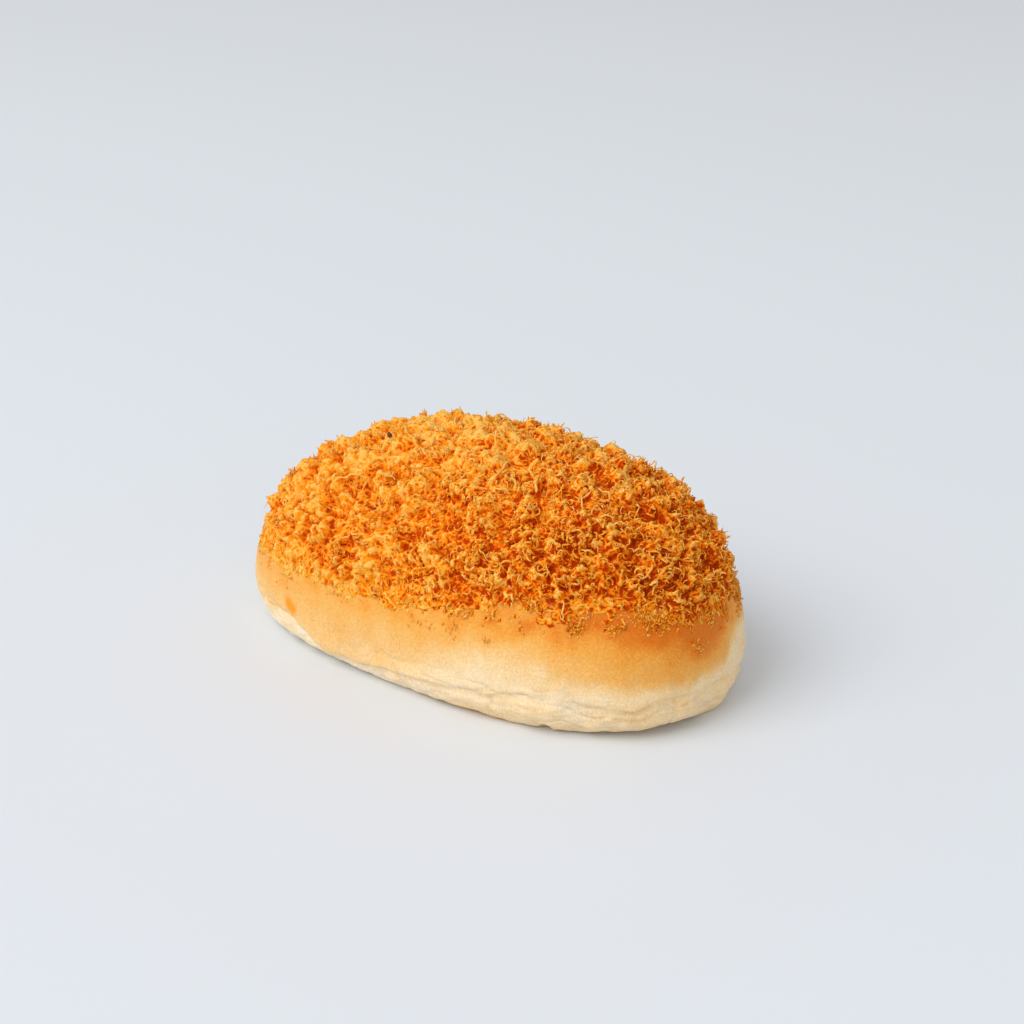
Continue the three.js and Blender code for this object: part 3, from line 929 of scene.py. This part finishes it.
STRANDS = Shred(
    name="floss_strands", count=60, sides=5, steps=16, length=(5, 9), radius=(0.16, 0.28),
    rise=(5, 25), stand=(0.3, 0.6), hold=0.5, swirl=120, wobble=0.16, sunk=0.3,
    flatness=(0.6, 0.9), lift=(0.6, 0.95), spread=0.12,
)
STRAYS = Shred(
    name="floss_strays", count=950, sides=4, steps=7, length=(1.0, 2.6), radius=(0.12, 0.2),
    rise=(0, 25), stand=(0.0, 0.3), hold=0.6, swirl=240, wobble=0.5, sunk=0.05,
    flatness=(0.35, 0.7), lift=(0.4, 0.72), spread=0.1,
)
TUFTS = Shred(
    name="floss_tufts", count=900, sides=4, steps=5, length=(1.0, 2.2), radius=(0.16, 0.26),
    rise=(20, 75), stand=(0.6, 1.6), hold=0.2, swirl=120, wobble=0.3, sunk=0.2,
    flatness=(0.5, 0.9), lift=(0.45, 0.8), spread=0.08,
)


# Crumbs.

Crumb = collections.namedtuple("Crumb", "name count cuts radius depth sunk ridges lift spread")


def ball(cuts):
    form = bmesh.new()
    bmesh.ops.create_icosphere(form, subdivisions=cuts, radius=1)
    points = np.array([v.co for v in form.verts])
    triangles = np.array([[v.index for v in f.verts] for f in form.faces])
    form.free()
    return points, triangles


def random_turns(rng, count):
    """Random rotation matrices."""
    q = unit(rng.normal(size=(count, 4)))
    w, x, y, z = q.T
    return np.stack([
        1 - 2 * (y * y + z * z), 2 * (x * y - w * z), 2 * (x * z + w * y),
        2 * (x * y + w * z), 1 - 2 * (x * x + z * z), 2 * (y * z - w * x),
        2 * (x * z - w * y), 2 * (y * z + w * x), 1 - 2 * (x * x + y * y),
    ], axis=-1).reshape(count, 3, 3)


def crumb_piece(scene, kind, places, rng):
    """One kind of frilly crumb, pressed a little into the coat, all joined in one mesh."""
    template, triangles = ball(kind.cuts)
    count = len(places["at"])
    near = smooth((places["above"] + 1 * MM) / (8 * MM))
    radius = rng.uniform(*kind.radius, count) * MM * mix(0.55, 1, near)
    local = np.einsum("nij,kj->nki", random_turns(rng, count), template) * radius[:, None, None]
    seat = local + rng.uniform(0, 1, (count, 1, 3))
    frill = 1 - 3 * np.abs(noise(seat, CRUMB_FRILL, 62))
    lumps = noise(seat, 1.6 * CRUMB_FRILL, 61)
    local = local * (0.9 + 0.45 * lumps + kind.ridges * frill)[..., None]
    out = places["out"][:, None]
    outward = (local * out).sum(axis=-1, keepdims=True)
    local = local + out * outward * (kind.depth - 1)
    points = places["at"][:, None] + local + out * (radius * kind.sunk)[:, None, None]
    tri = triangles[None] + (np.arange(count) * len(template))[:, None, None]
    # A crumb's tone: random, with painted light on the clumps and by place.
    own = kind.spread * rng.uniform(-1, 1, count) + 0.12 * places["standing"]
    own = own + paint_light_by_place(places["at"], RIGHT_PAINTED_SHADE)
    # Painted light and shade: each crumb is lighter on the side that faces out of the coat and darker on
    # the side toward it.
    top = np.clip(outward[..., 0] / radius[:, None], -1, 1)
    lift = mix(*kind.lift, 0.5 + 0.5 * top) + 0.16 * frill + own[:, None]
    obj = mesh_object(
        kind.name, points.reshape(-1, 3), np.empty((0, 4), int), tri.reshape(-1, 3),
        floss_material(scene.bun_colours, kind.name.replace("_", " "), 0.4), lift=lift.ravel(), webbed=0.4,
    )
    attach(obj, "root")


CRUMB_FRILL = 0.65 * MM
CRUMBS = Crumb(
    name="floss_crumbs", count=450, cuts=2, radius=(0.25, 0.5), depth=0.6, sunk=-0.1, ridges=0.35,
    lift=(0.4, 0.7), spread=0.1,
)

# A few scorched flecks, each with its place and its radius in mm. The first is the dark one near the top.
FLECKS = (
    ((-27.3, -8.9, 50.6), 0.7),
    ((22, -14, 52), 0.35),
    ((5, -24, 44), 0.3),
)


def make_flecks(scene):
    """Scorched flecks, set on the coat at the points nearest to their places."""
    surface = coat_surface()
    rng = np.random.default_rng(SEED + 20)
    template, triangles = ball(2)
    points = []
    for place, radius in FLECKS:
        nearest = np.argmin(np.linalg.norm(surface["skin"] - np.array(place) * MM, axis=-1))
        bumps = 1 + 0.5 * noise(template + rng.uniform(0, 100, 3), 0.7, 63)
        at = surface["skin"][nearest] + surface["out"][nearest] * radius * 0.5 * MM
        points.append(at + template * bumps[:, None] * radius * MM)
    tri = triangles[None] + (np.arange(len(FLECKS)) * len(template))[:, None, None]
    obj = mesh_object(
        "floss_flecks", np.concatenate(points), np.empty((0, 4), int), tri.reshape(-1, 3),
        fleck_material(scene.bun_colours),
    )
    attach(obj, "root")


# Painted shade: how deep each bit of floss lies under the rest. Buried floss gets a deeper tone where shade
# falls, and open floss a lighter one.

AIR_CELL = 0.5 * MM
AIR_MARGIN = 8
AIR_REACHES = (0.9 * MM, 1.5 * MM, 2.1 * MM)
CROWDED = 0.3
# Painted shade for buried floss and painted light for open floss, as shifts of tone.
BURIED_SHADE_TONE = 0.3
OPEN_LIGHT_TONE = 0.12


def read_mesh(items, value, width):
    """A value of each item of a mesh, as an array of rows."""
    values = np.empty(width * len(items), np.float32)
    items.foreach_get(value, values)
    return values.reshape(-1, width)


def crowding(points):
    """How full the space round the points is, in small cells. Returns the cells and their corner."""
    corner = points.min(axis=0) - AIR_MARGIN * AIR_CELL
    cells = np.floor((points - corner) / AIR_CELL).astype(int)
    full = np.zeros(cells.max(axis=0) + AIR_MARGIN + 1)
    full[tuple(cells.T)] = 1
    for axis in (0, 1, 2, 0, 1, 2):
        full = (np.roll(full, 1, axis) + full + np.roll(full, -1, axis)) / 3
    return full, corner


def paint_buried_shade(scene):
    """Floss that lies under other floss gets a deeper tone, as painted shade, and floss in the open a
    lighter one, as painted light.
    """
    meshes = [obj.data for obj in scene.objects if "lift" in getattr(obj.data, "attributes", ())]
    centres = [read_mesh(mesh.polygons, "center", 3) for mesh in meshes]
    corners = [read_mesh(mesh.vertices, "co", 3) for mesh in meshes]
    full, corner = crowding(np.concatenate(centres + corners))
    loaf = scene.bun_loaf
    halves = np.array([loaf.length / 2, loaf.width / 2, loaf.height])
    for mesh in meshes:
        points = read_mesh(mesh.vertices, "co", 3)
        out = unit(points / halves ** 2)
        buried = 0
        for reach in AIR_REACHES:
            cells = np.floor((points + out * reach - corner) / AIR_CELL).astype(int)
            buried = buried + full[tuple(np.clip(cells, 0, np.array(full.shape) - 1).T)] / len(AIR_REACHES)
        lift = mesh.attributes["lift"].data
        tone = read_mesh(lift, "value", 1)[:, 0] + OPEN_LIGHT_TONE - BURIED_SHADE_TONE * smooth(buried / CROWDED)
        lift.foreach_set("value", tone.astype(np.float32))


# Materials.

def material_tree(name, roughness, subsurface=0.0, radius=(1, 0.4, 0.15), scale=1 * MM):
    material = bpy.data.materials.new(name)
    material.use_nodes = True
    tree = material.node_tree
    shader = tree.nodes["Principled BSDF"]
    shader.inputs["Roughness"].default_value = roughness
    shader.inputs["Subsurface Weight"].default_value = subsurface
    shader.inputs["Subsurface Radius"].default_value = radius
    shader.inputs["Subsurface Scale"].default_value = scale
    return material, tree, shader


def add_node(tree, kind, **values):
    """A node with its settings. A name that the node has as a socket sets that socket's value."""
    node = tree.nodes.new(kind)
    for key, value in values.items():
        if key in node.inputs:
            node.inputs[key].default_value = value
        else:
            setattr(node, key, value)
    return node


def attribute(tree, name):
    return add_node(tree, "ShaderNodeAttribute", attribute_name=name).outputs["Fac"]


def noise_node(tree, span, detail=3.0, roughness=0.6):
    place = add_node(tree, "ShaderNodeTexCoord").outputs["Object"]
    node = add_node(tree, "ShaderNodeTexNoise", Scale=1 / span, Detail=detail, Roughness=roughness)
    tree.links.new(place, node.inputs["Vector"])
    return node.outputs["Fac"]


def link_math(tree, operation, a, b, clamp=False):
    node = add_node(tree, "ShaderNodeMath", operation=operation, use_clamp=clamp)
    for socket, value in zip(node.inputs, (a, b)):
        if isinstance(value, (int, float)):
            socket.default_value = value
        else:
            tree.links.new(value, socket)
    return node.outputs[0]


def ramp(tree, value, stops):
    """A colour ramp with a stop for each pair of place and colour."""
    node = add_node(tree, "ShaderNodeValToRGB")
    elements = node.color_ramp.elements
    while len(elements) < len(stops):
        elements.new(0.5)
    for element, (place, colour) in zip(elements, stops):
        element.position = place
        element.color = (*colour, 1)
    tree.links.new(value, node.inputs["Fac"])
    return node.outputs["Color"]


def blend_colours(tree, share, a, b, kind="MIX"):
    node = add_node(tree, "ShaderNodeMix", data_type="RGBA", blend_type=kind)
    for socket, value in zip((node.inputs[0], node.inputs[6], node.inputs[7]), (share, a, b)):
        if isinstance(value, bpy.types.NodeSocket):
            tree.links.new(value, socket)
        else:
            socket.default_value = value
    return node.outputs[2]


def add_bump(tree, shader, height, strength, distance):
    bump = add_node(tree, "ShaderNodeBump", Strength=strength, Distance=distance)
    tree.links.new(height, bump.inputs["Height"])
    tree.links.new(bump.outputs["Normal"], shader.inputs["Normal"])


def uneven(tree, span, detail, amount):
    """Noise round 0, for a value to be shifted by."""
    centred = link_math(tree, "SUBTRACT", noise_node(tree, span, detail), 0.5)
    return link_math(tree, "MULTIPLY", centred, amount)


SPECKLE = 0.45


def crust_material(colours):
    """Baked crust: cream dough that browns upwards, with a fine speckle and a soft sheen."""
    material, tree, shader = material_tree(
        "baked crust", roughness=0.52, subsurface=0.2, radius=(1, 0.45, 0.2), scale=1.1 * MM
    )
    shader.inputs["Specular IOR Level"].default_value = 0.22
    baked = link_math(tree, "ADD", attribute(tree, "browning"), uneven(tree, 0.6 * MM, 1.0, 0.22))
    baked = link_math(tree, "ADD", baked, uneven(tree, 6 * MM, 2.0, 0.25), clamp=True)
    stops = (
        (0.0, colours.dough_cream), (0.22, colours.dough_straw),
        (0.5, colours.crust_gold), (0.72, colours.crust_amber), (0.88, colours.crust_brown),
        (1.0, colours.crust_deep),
    )
    grain = link_math(tree, "ADD", uneven(tree, 0.5 * MM, 1.0, SPECKLE), 1.0)
    base = blend_colours(tree, 1.0, ramp(tree, baked, stops), grain, "MULTIPLY")
    spotted = blend_colours(tree, attribute(tree, "spot"), base, (*colours.crust_spot, 1))
    tree.links.new(spotted, shader.inputs["Base Color"])
    add_bump(tree, shader, noise_node(tree, 0.6 * MM, 3.0), 0.5, 0.08 * MM)
    return material


def web(tree, span, thinness=5.0):
    """Thin curling lines, 1 along their middles and 0 between them."""
    apart = link_math(tree, "ABSOLUTE", link_math(tree, "SUBTRACT", noise_node(tree, span, 1.0), 0.5), 0.0)
    return link_math(tree, "SUBTRACT", 1.0, link_math(tree, "MULTIPLY", apart, thinness), clamp=True)


def floss_material(colours, name, glow):
    """Crisp floss: deep amber in its hollows, which is painted shade, to pale gold along its fibres, a
    little translucent.
    """
    material, tree, shader = material_tree(
        name, roughness=0.7, subsurface=glow, radius=(1, 0.35, 0.08), scale=0.8 * MM
    )
    shader.inputs["Specular IOR Level"].default_value = 0.04
    shader.inputs["Sheen Weight"].default_value = 0.12
    shader.inputs["Sheen Roughness"].default_value = 0.5
    shader.inputs["Sheen Tint"].default_value = (1, 0.5, 0.12, 1)
    fibres = link_math(tree, "ADD", web(tree, 2.2 * MM, 7.0), web(tree, 1.1 * MM, 5.0))
    lines = link_math(tree, "MULTIPLY", link_math(tree, "SUBTRACT", fibres, 0.8), attribute(tree, "webbed"))
    tone = link_math(tree, "ADD", attribute(tree, "lift"), lines)
    tone = link_math(tree, "ADD", tone, uneven(tree, 9 * MM, 2.0, 0.26), clamp=True)
    stops = (
        (0.0, colours.floss_deep), (0.3, colours.floss_orange),
        (0.62, colours.floss_amber), (1.0, colours.floss_gold),
    )
    tree.links.new(ramp(tree, tone, stops), shader.inputs["Base Color"])
    add_bump(tree, shader, fibres, 0.7, 0.2 * MM)
    return material


def fleck_material(colours):
    """Scorched floss, darker in its grain."""
    material, tree, shader = material_tree("scorched fleck", roughness=0.6)
    shader.inputs["Specular IOR Level"].default_value = 0.15
    dark = (*(0.4 * channel for channel in colours.scorched), 1)
    grain = blend_colours(tree, noise_node(tree, 0.4 * MM), (*colours.scorched, 1), dark)
    tree.links.new(grain, shader.inputs["Base Color"])
    return material


# The stage.

CAMERA_AT = (298.4 * MM, -346.9 * MM, 227.8 * MM)
CAMERA_TURN = 40.09
CAMERA_PITCH = 22.94
CAMERA_LENS = 70
CAMERA_SENSOR = 36
FLOOR_SIZE = 6.0
LIGHT_DISTANCE = 3.3
LIGHT_SIZE = 2.7
KEY_TURN = -110
KEY_CLIMB = 48
KEY_COLOUR = (1, 0.985, 0.96)
FILL_TURN = -45
FILL_CLIMB = 27
FILL_COLOUR = (0.94, 0.97, 1)


def make_camera(scene):
    data = bpy.data.cameras.new("camera")
    data.lens = CAMERA_LENS
    data.sensor_width = CAMERA_SENSOR
    data.clip_start, data.clip_end = 0.01, 20
    camera = bpy.data.objects.new("camera", data)
    camera.location = CAMERA_AT
    camera.rotation_euler = (math.radians(90 - CAMERA_PITCH), 0, math.radians(CAMERA_TURN))
    scene.collection.objects.link(camera)
    scene.camera = camera


def make_floor(scene, stage):
    form = bmesh.new()
    bmesh.ops.create_grid(form, x_segments=1, y_segments=1, size=FLOOR_SIZE / 2)
    mesh = bpy.data.meshes.new("floor")
    form.to_mesh(mesh)
    form.free()
    material, _, shader = material_tree("pale floor", roughness=0.6)
    shader.inputs["Specular IOR Level"].default_value = 0.25
    shader.inputs["Base Color"].default_value = (*stage.floor_colour, 1)
    mesh.materials.append(material)
    floor = bpy.data.objects.new("floor", mesh)
    scene.collection.objects.link(floor)


def add_light(scene, name, turn, climb, power, colour):
    """A soft round light that faces the bun. turn and climb are degrees, turn from the +X axis."""
    data = bpy.data.lights.new(name, "AREA")
    data.shape = "DISK"
    data.size = LIGHT_SIZE
    data.energy = power
    data.color = colour
    light = bpy.data.objects.new(name, data)
    a, e = math.radians(turn), math.radians(climb)
    away = np.array([math.cos(a) * math.cos(e), math.sin(a) * math.cos(e), math.sin(e)])
    light.location = away * LIGHT_DISTANCE
    light.rotation_euler = (math.pi / 2 - e, 0, a + math.pi / 2)
    scene.collection.objects.link(light)


def make_world(scene, stage):
    world = bpy.data.worlds.new("studio")
    world.use_nodes = True
    background = world.node_tree.nodes["Background"]
    background.inputs["Color"].default_value = (*stage.sky_colour, 1)
    background.inputs["Strength"].default_value = stage.sky_strength
    scene.world = world


def colour_property(name, description, default):
    return FloatVectorProperty(
        name=name, description=description, default=default, subtype="COLOR", min=0, max=1
    )


def size_property(name, description, default):
    return FloatProperty(
        name=name, description=description, default=default, unit="LENGTH", subtype="DISTANCE"
    )


class BunLoaf(bpy.types.PropertyGroup):
    length: size_property("Length", "Length of the bread along the bun", 138.2 * MM)
    width: size_property("Width", "Width of the bread across the bun", 82.2 * MM)
    height: size_property("Height", "Height of the bread under its coat", 53.2 * MM)
    waist: size_property("Waist", "Height at which the bread is widest", 12 * MM)


class BunCoat(bpy.types.PropertyGroup):
    depth: size_property("Depth", "Mean depth of the floss", 3 * MM)
    clump_height: size_property("Clump height", "How far the clumps stand out", 2.5 * MM)
    edge_height: size_property("Edge height", "Height of the coat's lower edge", 27 * MM)
    fullness: FloatProperty(
        name="Fullness", description="Share of the shreds and crumbs that are made",
        default=1, min=0.01, max=1, subtype="FACTOR",
    )


class BunColours(bpy.types.PropertyGroup):
    dough_cream: colour_property("Dough cream", "Pale dough near the base", (0.95, 0.79, 0.57))
    dough_straw: colour_property("Dough straw", "Dough where the crust starts", (0.93, 0.66, 0.34))
    crust_gold: colour_property("Crust gold", "Lightly baked crust", (0.89, 0.475, 0.125))
    crust_amber: colour_property("Crust amber", "Baked crust", (0.87, 0.37, 0.05))
    crust_brown: colour_property("Crust brown", "Well baked crust", (0.8, 0.25, 0.015))
    crust_deep: colour_property("Crust deep", "Browned and stained crust", (0.74, 0.18, 0.004))
    crust_spot: colour_property("Crust spot", "The browned spot on the crust", (0.92, 0.33, 0.004))
    scorched: colour_property("Scorched", "The few dark flecks", (0.24, 0.075, 0.03))
    # floss_deep is also the painted shade of the floss's hollows and of floss under other floss; floss_gold
    # is also the painted light of open floss and of the top.
    floss_deep: colour_property("Floss deep", "Floss in its hollows", (0.5, 0.042, 0.0005))
    floss_orange: colour_property("Floss orange", "Main colour of the floss", (0.82, 0.165, 0.002))
    floss_amber: colour_property("Floss amber", "Floss on its clumps", (0.97, 0.35, 0.012))
    floss_gold: colour_property("Floss gold", "Tips of the fibres", (1.0, 0.575, 0.135))


class BunStage(bpy.types.PropertyGroup):
    floor_colour: colour_property("Floor", "Colour of the floor", (0.745, 0.795, 0.86))
    sky_colour: colour_property("Sky", "Colour of the light all round", (1.0, 0.985, 0.97))
    sky_strength: FloatProperty(
        name="Sky strength", description="Strength of the light all round", default=0.58, min=0
    )
    key_power: FloatProperty(
        name="Key light", description="Power of the main light", default=67, unit="POWER"
    )
    fill_power: FloatProperty(
        name="Fill light", description="Power of the second light", default=10, unit="POWER"
    )


class BunPiece:
    """What the operators share."""
    bl_options = {"REGISTER", "UNDO"}


class BUN_OT_stage(BunPiece, bpy.types.Operator):
    """Make the floor, the lights and the camera"""
    bl_idname = "bun.stage"
    bl_label = "Stage"

    def execute(self, context):
        scene, stage = context.scene, context.scene.bun_stage
        make_camera(scene)
        make_floor(scene, stage)
        make_world(scene, stage)
        add_light(scene, "key light", KEY_TURN, KEY_CLIMB, stage.key_power, KEY_COLOUR)
        add_light(scene, "fill light", FILL_TURN, FILL_CLIMB, stage.fill_power, FILL_COLOUR)
        scene.view_settings.view_transform = "Standard"
        return {"FINISHED"}


class BUN_OT_bread(BunPiece, bpy.types.Operator):
    """Make the baked crust with its folds of pale dough"""
    bl_idname = "bun.bread"
    bl_label = "Bread"

    def execute(self, context):
        make_bread(context.scene)
        return {"FINISHED"}


class BUN_OT_coat(BunPiece, bpy.types.Operator):
    """Make the bed of clumped floss"""
    bl_idname = "bun.coat"
    bl_label = "Floss bed"

    def execute(self, context):
        make_coat(context.scene)
        return {"FINISHED"}


def make_kinds(scene, kinds, make, seed):
    """A piece for each kind, scattered by its weight."""
    for number, (kind, weigh) in enumerate(kinds.items()):
        rng = np.random.default_rng(seed + number)
        make(scene, kind, scatter(rng, round(kind.count * scene.bun_coat.fullness), weigh), rng)


class BUN_OT_shreds(BunPiece, bpy.types.Operator):
    """Make the curls, fibres, wisps, long strands, strays and tufts"""
    bl_idname = "bun.shreds"
    bl_label = "Shreds"

    def execute(self, context):
        kinds = {
            CURLS: curly_right, FIBRES: more_right, WISPS: more_right, STRANDS: over_right, STRAYS: strayed,
            TUFTS: on_peaks,
        }
        make_kinds(context.scene, kinds, floss_piece, SEED)
        return {"FINISHED"}


class BUN_OT_crumbs(BunPiece, bpy.types.Operator):
    """Make the crumbs and the scorched flecks"""
    bl_idname = "bun.crumbs"
    bl_label = "Crumbs"

    def execute(self, context):
        make_kinds(context.scene, {CRUMBS: strayed}, crumb_piece, SEED + 11)
        make_flecks(context.scene)
        return {"FINISHED"}


class BUN_OT_buried_shade(BunPiece, bpy.types.Operator):
    """Deepen the tone of the floss that lies under other floss, as painted shade"""
    bl_idname = "bun.depths"
    bl_label = "Depths"

    def execute(self, context):
        paint_buried_shade(context.scene)
        return {"FINISHED"}


class BUN_PT_panel(bpy.types.Panel):
    """The bun's sizes, colours and pieces"""
    bl_idname = "BUN_PT_panel"
    bl_label = "Chicken Floss Bun"
    bl_space_type = "VIEW_3D"
    bl_region_type = "UI"
    bl_category = "Bun"

    def draw(self, context):
        layout = self.layout
        for name in GROUPS:
            box = layout.box()
            group = getattr(context.scene, name)
            for key in group.__annotations__:
                box.prop(group, key)
        for operator in OPERATORS:
            layout.operator(operator.bl_idname)


GROUPS = {"bun_loaf": BunLoaf, "bun_coat": BunCoat, "bun_colours": BunColours, "bun_stage": BunStage}
OPERATORS = (BUN_OT_stage, BUN_OT_bread, BUN_OT_coat, BUN_OT_shreds, BUN_OT_crumbs, BUN_OT_buried_shade)


def register():
    for cls in (*GROUPS.values(), *OPERATORS, BUN_PT_panel):
        bpy.utils.register_class(cls)
    for name, group in GROUPS.items():
        setattr(bpy.types.Scene, name, PointerProperty(type=group))


def unregister():
    for name in GROUPS:
        delattr(bpy.types.Scene, name)
    for cls in (BUN_PT_panel, *OPERATORS, *GROUPS.values()):
        bpy.utils.unregister_class(cls)


def main():
    register()
    pieces = bpy.ops.bun
    for step in (pieces.stage, pieces.bread, pieces.coat, pieces.shreds, pieces.crumbs, pieces.depths):
        step()


if __name__ == "__main__":
    main()
